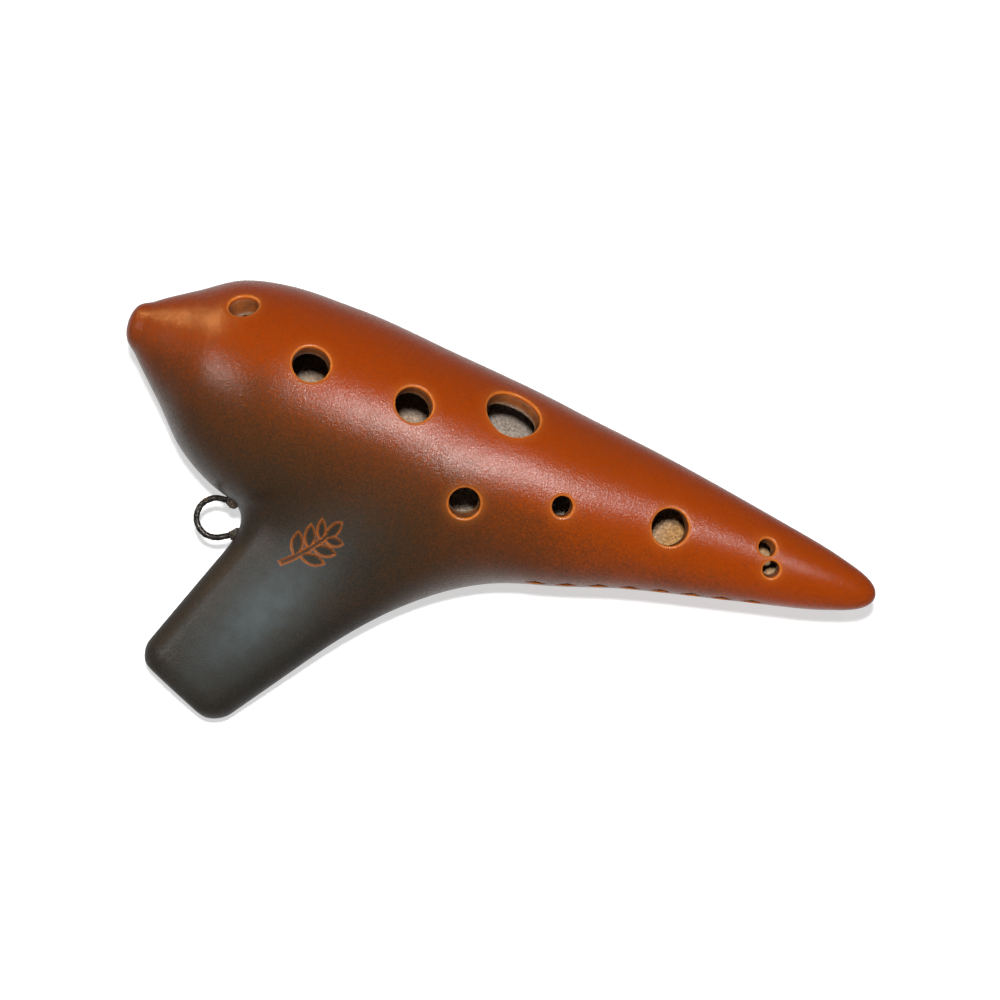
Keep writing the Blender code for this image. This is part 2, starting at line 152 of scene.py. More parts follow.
# Each leaf's place on the stem, its half length and its side.
SPRIG_LEAVES = (
    (-3.0, 1.9, 1),
    (-2.3, 1.9, -1),
    (-0.6, 1.8, 1),
    (0.1, 1.8, -1),
    (1.7, 1.5, 1),
    (2.3, 1.5, -1),
)
LEAF_TILT = math.radians(50.0)
LEAF_PLUMPNESS = 0.42
LOZENGES = 8
LOZENGE_FROM, LOZENGE_TO = 74.0, 107.0
LOZENGE_HALF_LENGTH = 1.5
LOZENGE_HALF_HEIGHT = 1.0
LOZENGE_AROUND = math.radians(-77.0)
# Where the smoke's edge lies in Y, and the most it stained beyond, along X.
SMOKE_EDGE = (
    (0.0, 24.0, 33.0, 50.0, 65.0, 78.0, 91.0, 105.0, 125.0),
    (2.2, 2.2, 1.5, 0.3, -0.6, -3.3, -4.2, -5.8, -12.0),
)
SMOKE_MOST = (
    (0.0, 50.0, 62.0, 74.0, 90.0, 125.0),
    (1.0, 1.0, 0.74, 0.48, 0.36, 0.33),
)
SMOKE_EDGE_ROUND = 4.0
SMOKE_FADE = 11.0
# A bluish highlight painted on the mouthpiece, along it and across it.
PAINTED_HIGHLIGHT_MIDDLE, PAINTED_HIGHLIGHT_LENGTH, PAINTED_HIGHLIGHT_WIDTH = 20.0, 14.0, 5.2

# How far from each rim the rub and the glow are stored, and where the rub lies. The rub is worn
# stain with a painted highlight on it.
RIM_REACH = 2.5
RUB_OUT, RUB_DOWN, RUB_WIDTH = 0.13, 0.12, 0.27
# The fired orange inside a bore: beyond its radius, in walls below its rim, and above its rim.
BORE_MARGIN, BORE_WALLS, BORE_TOP = 0.5, 1.3, 1.0
BORE_END, BORE_FADE = 0.95, 1.2
# How far from the outside the marks are stored, and the rubbed line round each, worn stain with a
# painted highlight on it.
SKIN_REACH = 0.9
LINE_OUT, LINE_WIDTH, LINE_RUB_AND_GLINT = 0.03, 0.15, 0.85
BARE_FROM, BARE_FADE, POOL_LEAST = 0.6, 0.5, 0.05

# The box that the field is searched in, and how finely.
FIELD_LOW, FIELD_HIGH = (-1.6, -54.0, -19.5), (127.0, 17.5, 19.5)
NET_STEP = 0.5
POINTS_AT_ONCE = 400000
# How near to an edge or a mark the skin is split, at each turn.
FINER_REACH = (1.1, 0.75)
FAR = 9.0
TINY = 1e-9
ON_SEAM = 1e-4
NUDGE = 0.02
HALVINGS = 40
BODY_LEAST_SLOPE = 2.0
LEAST_SLOPE_SQUARED = 0.1
LONGEST_MOVE = 0.3
# Cells to the side of a block, and how many blocks away the surface may be from its corners.
BLOCK = 4
BLOCK_REACH = 1.3
# Below this cosine between the field's normal and the face's own, the face's own is kept.
ASTRAY = 0.6


# --- The field ---


def smooth_through(stations, values, at, first_slope=None, last_slope=None):
    """A smooth curve through values at stations, straight beyond the ends."""
    stations, values = np.asarray(stations), np.asarray(values)
    step = np.diff(stations)
    rise = np.diff(values) / step
    slope = np.concatenate([rise[:1], rise[:1], rise[1:]])
    inner = (step[1:] * rise[:-1] + step[:-1] * rise[1:]) / (step[1:] + step[:-1])
    slope[1:-1] = np.where(rise[1:] * rise[:-1] > 0, inner, 0.0)
    slope[0] = rise[0] if first_slope is None else first_slope
    slope[-1] = rise[-1] if last_slope is None else last_slope
    i = np.clip(np.searchsorted(stations, at) - 1, 0, len(step) - 1)
    t = (at - stations[i]) / step[i]
    c = np.clip(t, 0.0, 1.0)
    start, end = slope[i] * step[i], slope[i + 1] * step[i]
    inside = (
        (2 * c**3 - 3 * c**2 + 1) * values[i]
        + (c**3 - 2 * c**2 + c) * start
        + (3 * c**2 - 2 * c**3) * values[i + 1]
        + (c**3 - c**2) * end
    )
    return inside + np.minimum(t, 0.0) * start + np.maximum(t - 1.0, 0.0) * end


def body_middle(x):
    share, middle, _ = np.array(BODY_SECTIONS).T
    return smooth_through(share * BODY_LENGTH, middle * BODY_RADIUS, x)


def body_radius_squared(x):
    share, _, radius = np.array(BODY_SECTIONS).T
    squares = (radius * BODY_RADIUS) ** 2
    return smooth_through(
        share * BODY_LENGTH, squares, x, 2 * NOSE_TIP_RADIUS, -2 * TAIL_TIP_RADIUS
    )


def body_distance(p):
    x, y, z = p.T
    off = y - body_middle(x)
    square = body_radius_squared(x)
    bend = (body_middle(x + NUDGE) - body_middle(x)) / NUDGE
    along = -2 * off * bend - (body_radius_squared(x + NUDGE) - square) / NUDGE
    slope = np.sqrt(along**2 + 4 * off**2 + 4 * z**2)
    return (off**2 + z**2 - square) / np.maximum(slope, BODY_LEAST_SLOPE)


def mouth_axes():
    up = np.array([math.cos(MOUTH_LEAN), math.sin(MOUTH_LEAN), 0.0])
    across = np.array([up[1], -up[0], 0.0])
    root = np.array([MOUTH_ROOT, float(body_middle(np.array([MOUTH_ROOT]))[0]), 0.0])
    return root - MOUTH_LENGTH * up, up, across


def mouth_coordinates(p):
    end, up, across = mouth_axes()
    return (p - end) @ up, (p - end) @ across


def mouth_distance(p):
    s, t = mouth_coordinates(p)
    half_width = MOUTH_WIDTH / 2 + MOUTH_WIDENING * s - MOUTH_EDGE_RADIUS
    half_depth = MOUTH_DEPTH / 2 + MOUTH_DEEPENING * s - MOUTH_EDGE_RADIUS
    half_depth = half_depth - MOUTH_CROWN * (2 * t / MOUTH_WIDTH) ** 2
    half_depth = half_depth - MOUTH_SAG * ((s - MOUTH_HIGHEST) / MOUTH_HIGHEST) ** 2
    beyond_end = MOUTH_EDGE_RADIUS - s - math.tan(MOUTH_END_SKEW) * t
    beyond_root = s - MOUTH_LENGTH + MOUTH_EDGE_RADIUS
    over = np.stack(
        [
            np.abs(t) - half_width,
            np.abs(p[:, 2]) - half_depth,
            np.maximum(beyond_end, beyond_root),
        ]
    )
    outside = np.sqrt((np.maximum(over, 0.0) ** 2).sum(axis=0))
    return outside + np.minimum(over.max(axis=0), 0.0) - MOUTH_EDGE_RADIUS


def blend(a, b, reach):
    """The lesser of two distances, with a fillet where they are within reach of each other."""
    h = np.maximum(reach - np.abs(a - b), 0.0) / reach
    return np.minimum(a, b) - h**2 * reach / 4


def without(a, b, reach):
    """What is left of a once b is cut from it, its edges rounded."""
    return -blend(-a, b, reach)


def outer_distance(p):
    _, t = mouth_coordinates(p)
    side = 0.5 + 0.5 * np.tanh(t / MOUTH_WIDTH * 2)
    reach = CROOK_BLEND + (WEB_BLEND - CROOK_BLEND) * side
    return blend(body_distance(p), mouth_distance(p), reach)


def wall_at(x):
    """The chamber's wall, thicker in the nose."""
    return WALL + NOSE_WALL * np.clip(1.0 - x / NOSE_WALL_END, 0.0, 1.0)


def chamber_distance(p):
    hollow = body_distance(p) + wall_at(p[:, 0])
    plug = p[:, 0] - (BODY_LENGTH - TAIL_PLUG)
    return -blend(-hollow, -plug, 2 * WALL)


def slopes(distance, p, nudge=NUDGE):
    steps = nudge * np.eye(3)
    return np.stack([(distance(p + d) - distance(p - d)) / (2 * nudge) for d in steps], axis=1)


def clay_crossing(inside, outside):
    """Where the line between a point in the clay and one outside it meets the surface."""
    for _ in range(HALVINGS):
        half = (inside + outside) / 2
        if outer_distance(half[None])[0] < 0:
            inside = half
        else:
            outside = half
    return inside


def surface_point(x, around):
    """Where a ray from the body's centre line leaves the clay, and the outward normal there."""
    middle = np.array([x, float(body_middle(np.array([x]))[0]), 0.0])
    outside = middle + 2 * BODY_RADIUS * np.array([0.0, math.sin(around), math.cos(around)])
    place = clay_crossing(middle, outside)
    normal = slopes(outer_distance, place[None])[0]
    return place, normal / np.linalg.norm(normal)


HOLES = [
    (*surface_point(share * BODY_LENGTH, math.radians(degrees)), bore / 2)
    for _, share, degrees, bore in FINGER_HOLES + THUMB_HOLES
]


def hole_coordinates(p, place, normal):
    """Height above the rim and distance from the bore's axis."""
    off = p - place
    height = off @ normal
    return height, np.sqrt(np.maximum((off**2).sum(axis=1) - height**2, 0.0))


def windway_depth(s):
    share = s / WINDOW_START
    return WINDWAY_DEPTH_AT_END + (WINDWAY_DEPTH_AT_WINDOW - WINDWAY_DEPTH_AT_END) * share


def deepest(*planes):
    """The distance of what is inside all the planes."""
    return np.maximum.reduce(planes)


def airway_distances(p):
    """The windway, the throat, the window with its ramp, and the block's pocket, each as a cut."""
    s, t = mouth_coordinates(p)
    z, t = p[:, 2], np.abs(t)
    half = WINDWAY_WIDTH / 2
    off_middle = np.abs(z + windway_depth(s)) - WINDWAY_HEIGHT / 2
    trough = deepest(t - half, off_middle, s - WINDOW_START - WINDWAY_OVERLAP)
    edge = -WINDWAY_DEPTH_AT_WINDOW + EDGE_THICKNESS / 2
    throat = deepest(
        t - half - THROAT_MARGIN,
        WINDOW_START - WINDOW_MARGIN - s,
        s - WINDOW_START - THROAT_LENGTH,
        edge - z,
        z - THROAT_TOP,
    )
    window_end = WINDOW_START + WINDOW_LENGTH
    window = deepest(
        t - half - WINDOW_MARGIN, WINDOW_START - s, s - window_end, z - edge - EDGE_THICKNESS
    )
    ramp_start = window_end - WINDWAY_OVERLAP
    fall = edge - EDGE_THICKNESS - EDGE_RAMP_SLOPE * (s - ramp_start)
    ramp = deepest(t - half - RAMP_MARGIN, ramp_start - s, (z - fall) * RAMP_EVEN)
    roof = WINDWAY_HEIGHT / 2 - windway_depth(s) - BLOCK_CLEARANCE / 2
    pocket = deepest(
        t - half - BLOCK_SHOULDER - BLOCK_CLEARANCE,
        BLOCK_START - BLOCK_CLEARANCE - s,
        s - WINDOW_START - BLOCK_CLEARANCE,
        roof - z,
        z - BLOCK_RISE - BLOCK_CLEARANCE,
    )
    return trough, throat, window, ramp, pocket


# --- The pressed marks, as flat distances that are negative inside them ---


def leaf(along, across, half_length, half_width):
    bow = (half_length**2 + half_width**2) / (2 * half_width)
    return np.hypot(along, np.abs(across) + bow - half_width) - bow


def sprig_distance(p):
    """A stem with three pairs of leaves and one at its tip, pressed where the mouthpiece begins."""
    x, y = p[:, 0] - SPRIG_MIDDLE[0], p[:, 1] - SPRIG_MIDDLE[1]
    c, s = math.cos(SPRIG_LEAN), math.sin(SPRIG_LEAN)
    along, across = x * c + y * s, -x * s + y * c
    across = across - SPRIG_BOW * along**2 + 0.3
    stem = deepest(np.abs(across) - 0.3, np.abs(along + 0.8) - 4.6)
    shape = np.minimum(stem, leaf(along - 4.4, across, 1.7, 0.75))
    for station, size, side in SPRIG_LEAVES:
        c, s = math.cos(LEAF_TILT), math.sin(LEAF_TILT) * side
        off = along - station
        u, v = off * c + across * s, -off * s + across * c
        shape = np.minimum(shape, leaf(u - size - 0.25, v, size, LEAF_PLUMPNESS * size))
    return np.where(p[:, 2] > 0, shape, FAR)


def lozenge_distance(p):
    """A row of small lozenges pressed along the body's edge, on the mouthpiece's side."""
    x, y, z = p.T
    around = np.arctan2(y - body_middle(x), z)
    up = (around - LOZENGE_AROUND) * np.sqrt(np.maximum(body_radius_squared(x), 1.0))
    pitch = (LOZENGE_TO - LOZENGE_FROM) / (LOZENGES - 1)
    station = np.clip(np.round((x - LOZENGE_FROM) / pitch), 0, LOZENGES - 1)
    along = np.abs(x - LOZENGE_FROM - station * pitch)
    share = along / LOZENGE_HALF_LENGTH + np.abs(up) / LOZENGE_HALF_HEIGHT - 1.0
    return share * LOZENGE_HALF_LENGTH * LOZENGE_HALF_HEIGHT / math.hypot(
        LOZENGE_HALF_LENGTH, LOZENGE_HALF_HEIGHT
    )


def mark_distance(p):
    return np.minimum(sprig_distance(p), lozenge_distance(p))


def pressed(p):
    """How deep the marks are at each point."""
    share = np.clip(0.5 - mark_distance(p) / (2 * MARK_SLOPE), 0.0, 1.0)
    return MARK_DEPTH * share**2 * (3 - 2 * share)


def clay_distance(p):
    """The finished clay, with everything cut from it."""
    s, t = mouth_coordinates(p)
    d = outer_distance(p) + pressed(p)
    d = without(d, s + math.tan(MOUTH_END_SKEW) * t - END_TRIM, EDGE_ROUND)
    d = without(d, chamber_distance(p), EDGE_ROUND)
    for place, normal, radius in HOLES:
        height, off = hole_coordinates(p, place, normal)
        d = without(d, np.maximum(off - radius, -height - 2 * WALL), RIM_ROUND)
    trough, throat, window, ramp, pocket = airway_distances(p)
    for cut in (trough, throat, window, ramp):
        d = without(d, cut, AIRWAY_ROUND)
    return np.maximum(d, -pocket)


def detail_distance(p):
    """How far each point is from an edge or a mark that wants a finer skin."""
    near = np.full(len(p), FAR)
    for place, normal, radius in HOLES:
        height, off = hole_coordinates(p, place, normal)
        near = np.minimum(near, np.hypot(off - radius - 0.15, height + 0.15))
    trough, _, window, ramp, _ = airway_distances(p)
    outer = np.abs(outer_distance(p))
    for cut in (trough, window, ramp):
        near = np.minimum(near, np.hypot(cut, outer))
    marks = np.where(outer < 1.0, np.abs(mark_distance(p)), FAR)
    return np.minimum(near, marks)


# --- The skin ---


def shifted(corner, counts):
    """The slices of a grid that start at a corner and hold these counts."""
    return tuple(slice(c, c + n) for c, n in zip(corner, counts))


def surface_net(distance, low, high, step):
    """Vertices and quads of an even skin where the distance passes through zero, and which
    vertices lie on the seam. The seam plane, Z = 0, is the middle of a layer of cells."""
    counts = [int(math.ceil((h - l) / (step * BLOCK))) * BLOCK for l, h in zip(low, high)]
    layers = int(round(-low[2] / step))
    low = np.array([low[0], low[1], -(layers + 0.5) * step])
    coarse = [low[i] + step * BLOCK * np.arange(counts[i] // BLOCK + 1) for i in range(3)]
    grid = np.stack(np.meshgrid(*coarse, indexing="ij"), axis=-1)
    away = np.abs(distance(grid.reshape(-1, 3)).reshape(grid.shape[:3]))
    near = away < BLOCK_REACH * BLOCK * step
    corners = list(itertools.product((0, 1), repeat=3))
    blocks = np.zeros([n // BLOCK for n in counts], bool)
    for corner in corners:
        blocks |= near[shifted(corner, blocks.shape)]
    cells = blocks.repeat(BLOCK, 0).repeat(BLOCK, 1).repeat(BLOCK, 2)
    nodes = np.zeros([n + 1 for n in counts], bool)
    for corner in corners:
        nodes[shifted(corner, counts)] |= cells
    field = np.ones(nodes.shape)
    at = np.argwhere(nodes)
    values = np.empty(len(at))
    for start in range(0, len(at), POINTS_AT_ONCE):
        part = slice(start, start + POINTS_AT_ONCE)
        values[part] = distance(low + at[part] * step)
    field[nodes] = values

    solid = field < 0
    total = np.zeros(cells.shape, np.int8)
    for corner in corners:
        total += solid[shifted(corner, counts)]
    mixed = cells & (total > 0) & (total < 8)
    index = np.full(cells.shape, -1)
    where = np.argwhere(mixed)
    index[mixed] = np.arange(len(where))
    sums, hits = np.zeros((len(where), 3)), np.zeros(len(where))
    for axis in range(3):
        others = [a for a in range(3) if a != axis]
        for sides in itertools.product((0, 1), repeat=2):
            near_end = where.copy()
            near_end[:, others] += sides
            far_end = near_end.copy()
            far_end[:, axis] += 1
            a, b = field[tuple(near_end.T)], field[tuple(far_end.T)]
            cross = (a < 0) != (b < 0)
            share = np.where(cross, a / np.where(cross, a - b, 1.0), 0.0)
            spot = near_end.astype(float)
            spot[:, axis] += share
            sums[cross] += spot[cross]
            hits += cross
    verts = low + sums / hits[:, None] * step

    quads = []
    for axis in range(3):
        u, v = [(1, 2), (2, 0), (0, 1)][axis]
        here = [slice(None)] * 3
        there = [slice(None)] * 3
        here[axis], there[axis] = slice(0, -1), slice(1, None)
        a, b = solid[tuple(here)], solid[tuple(there)]
        crossing = np.argwhere(a != b)
        inner = (crossing[:, u] > 0) & (crossing[:, v] > 0)
        inner &= (crossing[:, u] < counts[u]) & (crossing[:, v] < counts[v])
        crossing = crossing[inner]
        out = a[tuple(crossing.T)]
        ring = []
        for du, dv in ((-1, -1), (0, -1), (0, 0), (-1, 0)):
            cell = crossing.copy()
            cell[:, u] += du
            cell[:, v] += dv
            ring.append(index[tuple(cell.T)])
        ring = np.stack(ring, axis=1)
        quads.append(np.where(out[:, None], ring, ring[:, ::-1]))
    quads = np.concatenate(quads)
    quads = quads[(quads >= 0).all(axis=1)]
    seam = where[:, 2] == layers
    verts[seam, 2] = 0.0
    return verts, quads, seam


def land(distance, verts, seam):
    """Brings the vertices on to the surface, those on the seam within its plane."""
    slope = slopes(distance, verts)
    slope[seam, 2] = 0.0
    steep = np.maximum((slope**2).sum(axis=1), LEAST_SLOPE_SQUARED)
    move = slope * (distance(verts) / steep)[:, None]
    length = np.linalg.norm(move, axis=1)[:, None]
    return verts - move * np.minimum(1.0, LONGEST_MOVE / np.maximum(length, TINY))


def evened(distance, verts, quads, seam, rounds=4):
    """Moves the vertices towards the middle of their neighbours and back on to the surface."""
    pairs = np.concatenate([quads[:, [i, (i + 1) % 4]] for i in range(4)])
    count = np.bincount(pairs.ravel(), minlength=len(verts))[:, None]
    for turn in range(rounds):
        if turn < rounds - 1:
            total = np.zeros_like(verts)
            for axis in range(3):
                for a, b in ((0, 1), (1, 0)):
                    total[:, axis] += np.bincount(
                        pairs[:, a], weights=verts[pairs[:, b], axis], minlength=len(verts)
                    )
            mean = total / count
            mean[seam, 2] = 0.0
            verts = (verts + mean) / 2
        verts = land(distance, verts, seam)
    return verts


def linked(name, data):
    """A new object of this data, in the scene."""
    obj = bpy.data.objects.new(name, data)
    bpy.context.scene.collection.objects.link(obj)
    return obj


def mesh_of(name, verts, faces):
    """A mesh from arrays of vertices in millimetres and of triangles or quads."""
    mesh = bpy.data.meshes.new(name)
    mesh.vertices.add(len(verts))
    mesh.vertices.foreach_set("co", (verts * MM).astype(np.float32).ravel())
    sides = faces.shape[1]
    mesh.loops.add(faces.size)
    mesh.loops.foreach_set("vertex_index", faces.astype(np.int32).ravel())
    mesh.polygons.add(len(faces))
    mesh.polygons.foreach_set("loop_start", np.arange(0, faces.size, sides, dtype=np.int32))
    mesh.update(calc_edges=True)
    return mesh


def points_of(mesh):
    p = np.empty(len(mesh.vertices) * 3, np.float32)
    mesh.vertices.foreach_get("co", p)
    return p.reshape(-1, 3).astype(float) / MM


def refined(mesh, distance):
    """Splits the faces near edges and marks, and brings the new vertices on to the surface."""
    for reach in FINER_REACH:
        p = points_of(mesh)
        close = detail_distance(p) < reach
        bm = bmesh.new()
        bm.from_mesh(mesh)
        bm.verts.ensure_lookup_table()
        edges = [e for e in bm.edges if close[e.verts[0].index] and close[e.verts[1].index]]
        bmesh.ops.subdivide_edges(bm, edges=edges, cuts=1, use_grid_fill=True)
        bm.to_mesh(mesh)
        bm.free()
        p = points_of(mesh)
        seam = np.abs(p[:, 2]) < ON_SEAM
        for _ in range(2):
            p = land(distance, p, seam)
        mesh.vertices.foreach_set("co", (p * MM).astype(np.float32).ravel())
        mesh.update()
    return mesh


def capped(mesh):
    """Closes the open side on the seam plane with flat faces and marks its outline sharp."""
    bm = bmesh.new()
    bm.from_mesh(mesh)
    for face in bm.faces:
        face.smooth = True
    border = [e for e in bm.edges if e.is_boundary]
    for edge in border:
        edge.smooth = False
    made = bmesh.ops.triangle_fill(bm, use_beauty=False, edges=border)["geom"]
    for item in made:
        if isinstance(item, bmesh.types.BMFace):
            item.smooth = False
    bmesh.ops.recalc_face_normals(bm, faces=bm.faces)
    bm.to_mesh(mesh)
    bm.free()
    return mesh


def rested(p):
    """Design millimetres to metres the way the ocarina lies."""
    return p * MM @ np.array(REST_TURN).T + np.array(REST_SHIFT)


def stain(p):
    """0 where the clay fired orange to 1 where the smoke turned it charcoal."""
    x = np.clip(p[:, 0], 0.0, BODY_LENGTH)
    into = smooth_through(*SMOKE_EDGE, x) - p[:, 1]
    rounding = np.maximum(SMOKE_EDGE_ROUND - np.abs(into), 0.0) ** 2 / (4 * SMOKE_EDGE_ROUND)
    into = np.maximum(into, 0.0) + rounding
    most = smooth_through(*SMOKE_MOST, x)
    return most * (1.0 - np.exp(-into / (SMOKE_FADE * most)))


def put_value(mesh, name, values):
    layer = mesh.attributes.new(name, "FLOAT", "POINT")
    layer.data.foreach_set("value", values.astype(np.float32))


def store_looks(mesh, p):
    """Stores at each point how stained, rubbed, glowing, pooled, bored or bare it is, and where a
    highlight is painted: on the rubbed rims and lines, and bluish on the mouthpiece.
    """
    outer = outer_distance(p)
    rub_and_glint, halo, wall = np.zeros(len(p)), np.zeros(len(p)), np.zeros(len(p), bool)
    for place, normal, radius in HOLES:
        height, off = hole_coordinates(p, place, normal)
        near = np.abs(height) < RIM_REACH
        # Rubbed rims: worn stain, brightened as a painted highlight where the rims catch the light.
        q = np.hypot(off - radius - RUB_OUT, outer + RUB_DOWN)
        rub_and_glint = np.maximum(rub_and_glint, near * np.exp(-((q / RUB_WIDTH) ** 4)))
        halo = np.maximum(halo, near * np.exp(-(q**2)))
        lowest = -BORE_WALLS * wall_at(place[0])
        wall |= (off < radius + BORE_MARGIN) & (height > lowest) & (height < BORE_TOP)
    skin = np.abs(outer) < SKIN_REACH
    # The rubbed line round each mark, worn stain with a painted highlight on it.
    line = skin * np.exp(-(((mark_distance(p) - LINE_OUT) / LINE_WIDTH) ** 2))
    pool = skin * pressed(p) / MARK_DEPTH
    bare = np.clip((-outer - BARE_FROM) / BARE_FADE, 0.0, 1.0) * (pool < POOL_LEAST)
    inner = wall_at(p[:, 0]) * BORE_END + outer
    bore = bare * wall * np.clip(inner / BORE_FADE, 0.0, 1.0)
    s, t = mouth_coordinates(p)
    # Where a bluish highlight is painted along the mouthpiece's crest.
    painted_highlight = np.exp(-((t / PAINTED_HIGHLIGHT_WIDTH) ** 2) - ((s - PAINTED_HIGHLIGHT_MIDDLE) / PAINTED_HIGHLIGHT_LENGTH) ** 2)
    for name, values in (
        ("stain", stain(p)),
        ("rub_and_glint", np.maximum(rub_and_glint, LINE_RUB_AND_GLINT * line)),
        ("halo", halo),
        ("pool", pool),
        ("painted_highlight", painted_highlight),
        ("bore", bore),
        ("bare", bare),
    ):
        put_value(mesh, name, values)


def read(items, name, width, kind):
    """An array of one value, or of a row of width values, for each item."""
    values = np.empty(len(items) * width, kind)
    items.foreach_get(name, values)
    return values.reshape(-1, width) if width > 1 else values


def lay_down(mesh, p):
    """Turns the mesh the way it lies and gives it the field's own normals, except on flat faces
    and where the two differ widely."""
    normals = slopes(clay_distance, p, 2 * NUDGE)
    normals /= np.maximum(np.linalg.norm(normals, axis=1), TINY)[:, None]
    normals = normals @ np.array(REST_TURN).T
    mesh.vertices.foreach_set("co", rested(p).astype(np.float32).ravel())
    mesh.update()
    per_corner = normals[read(mesh.loops, "vertex_index", 1, np.int32)]
    sides = read(mesh.polygons, "loop_total", 1, np.int32)
    owner = np.repeat(np.arange(len(sides)), sides)
    flat = read(mesh.polygons, "normal", 3, np.float32)[owner]
    smooth = read(mesh.polygons, "use_smooth", 1, bool)[owner]
    use_flat = ~smooth | ((per_corner * flat).sum(axis=1) < ASTRAY)
    per_corner[use_flat] = flat[use_flat]
    mesh.normals_split_custom_set(per_corner.astype(np.float32))


def clay_halves():
    verts, quads, seam = surface_net(clay_distance, FIELD_LOW, FIELD_HIGH, NET_STEP)
    verts = evened(clay_distance, verts, quads, seam)
    middle = verts[quads, 2].mean(axis=1)
    halves = []
    for name, side in (("clay_front", middle > 0), ("clay_back", middle < 0)):
        faces = quads[side]
        used, flat = np.unique(faces, return_inverse=True)
        mesh = mesh_of(name, verts[used], flat.reshape(faces.shape))
        mesh = capped(refined(mesh, clay_distance))
        p = points_of(mesh)
        store_looks(mesh, p)
        lay_down(mesh, p)
        halves.append(linked(name, mesh))
    return halves


# --- The wire loop and its pellets ---

LEG_STEPS = 14
RING_STEPS = 72
WIRE_SIDES = 20
WIRE_WORN = 0.97
# The pellets' size as a share of the collars', and how much longer they are along the wire.
PELLET_SIZE = 0.56
PELLET_STRETCH = 0.35


def mouth_point(up_by, across_by):
    end, up, across = mouth_axes()
    return end + up_by * up + across_by * across


def loop_path():
    """The wire's middle line, from the end of its upper leg to the end of its lower one."""
    centre = mouth_point(LOOP_UP, LOOP_ACROSS)
    turns = np.linspace(LOOP_FROM, LOOP_TO, RING_STEPS)
    ring = centre + LOOP_RADIUS * np.stack(
        [np.cos(turns), np.sin(turns), np.zeros(RING_STEPS)], axis=1
    )
    into_upper = np.array([math.sin(LOOP_FROM), -math.cos(LOOP_FROM), 0.0])
    into_lower = np.array([-math.sin(LOOP_TO), math.cos(LOOP_TO), 0.0])
    steps = np.linspace(1.0, 0.05, LEG_STEPS)[:, None]
    upper = ring[0] + into_upper * UPPER_LEG * steps
    lower = ring[-1] + into_lower * LOWER_LEG * steps[::-1]
    return np.concatenate([upper, ring, lower])


def smooth_mesh(name, bm):
    for face in bm.faces:
        face.smooth = True
    mesh = bpy.data.meshes.new(name)
    bm.to_mesh(mesh)
    bm.free()
    return mesh


def wire_mesh(name, path):
    """A hammered wire: its section swells, flattens and turns a little along the way."""
    ahead = np.gradient(path, axis=0)
    ahead /= np.linalg.norm(ahead, axis=1)[:, None]
    side = np.cross(ahead, [0.0, 0.0, 1.0])
    run = np.concatenate([[0.0], np.cumsum(np.linalg.norm(np.diff(path, axis=0), axis=1))])
    angle = np.linspace(0.0, 2 * math.pi, WIRE_SIDES, endpoint=False)
    s, a = run[:, None], angle[None, :]
    swell = 1.0 + 0.025 * np.sin(2.1 * s + 0.7) + 0.02 * np.sin(5.3 * s)
    dents = 0.05 * np.sin(3.7 * s + 2 * a) * np.sin(1.3 * s + a) + 0.03 * np.sin(9.1 * s + 3 * a)
    radius = WIRE_DIAMETER / 2 * (swell + dents) * WIRE_WORN
    rings = (
        path[:, None]
        + side[:, None] * (radius * np.cos(a))[..., None]
        + np.array([0.0, 0.0, 1.0]) * (radius * np.sin(a))[..., None]
    )
    count = len(path)
    verts = np.concatenate([rings.reshape(-1, 3), path[:1], path[-1:]])
    i, j = np.meshgrid(np.arange(count - 1), np.arange(WIRE_SIDES), indexing="ij")
    a0, a1 = i * WIRE_SIDES + j, i * WIRE_SIDES + (j + 1) % WIRE_SIDES
    quads = np.stack([a0, a0 + WIRE_SIDES, a1 + WIRE_SIDES, a1], axis=-1).reshape(-1, 4)
    bm = bmesh.new()
    made = [bm.verts.new(v * MM) for v in verts]
    for q in quads:
        bm.faces.new([made[k] for k in q])
    last = (count - 1) * WIRE_SIDES
    for j in range(WIRE_SIDES):
        k = (j + 1) % WIRE_SIDES
        bm.faces.new([made[-2], made[j], made[k]])
        bm.faces.new([made[-1], made[last + k], made[last + j]])
    bmesh.ops.recalc_face_normals(bm, faces=bm.faces)
    return smooth_mesh(name, bm)


def lump_mesh(name, leg_start, leg_end, seed):
    """A rough pellet of slip round the wire where a leg enters the clay."""
    middle = clay_crossing(leg_end, leg_start)
    bm = bmesh.new()
    bmesh.ops.create_icosphere(bm, subdivisions=5, radius=1.0)
    along = (leg_end - leg_start) / np.linalg.norm(leg_end - leg_start)
    for v in bm.verts:
        d = np.array(v.co)
        rough = (
            0.16 * math.sin(3.1 * d[0] + seed)
            + 0.12 * math.sin(4.3 * d[1] - 2 * seed)
            + 0.07 * math.sin(9.0 * d[2] + 7.0 * d[0] + seed)
            + 0.05 * math.sin(17.0 * d[0] - 13.0 * d[1] + 3 * seed)
        )
        size = COLLAR_RADIUS * PELLET_SIZE * (1.0 + rough)
        v.co = Vector((middle + d * size + along * (d @ along) * PELLET_STRETCH) * MM)
    return smooth_mesh(name, bm)


def settled(name, mesh):
    """An object of a mesh in design metres, turned the way the ocarina lies."""
    p = points_of(mesh)
    mesh.vertices.foreach_set("co", rested(p).astype(np.float32).ravel())
    mesh.update()
    return linked(name, mesh)


# --- Materials ---


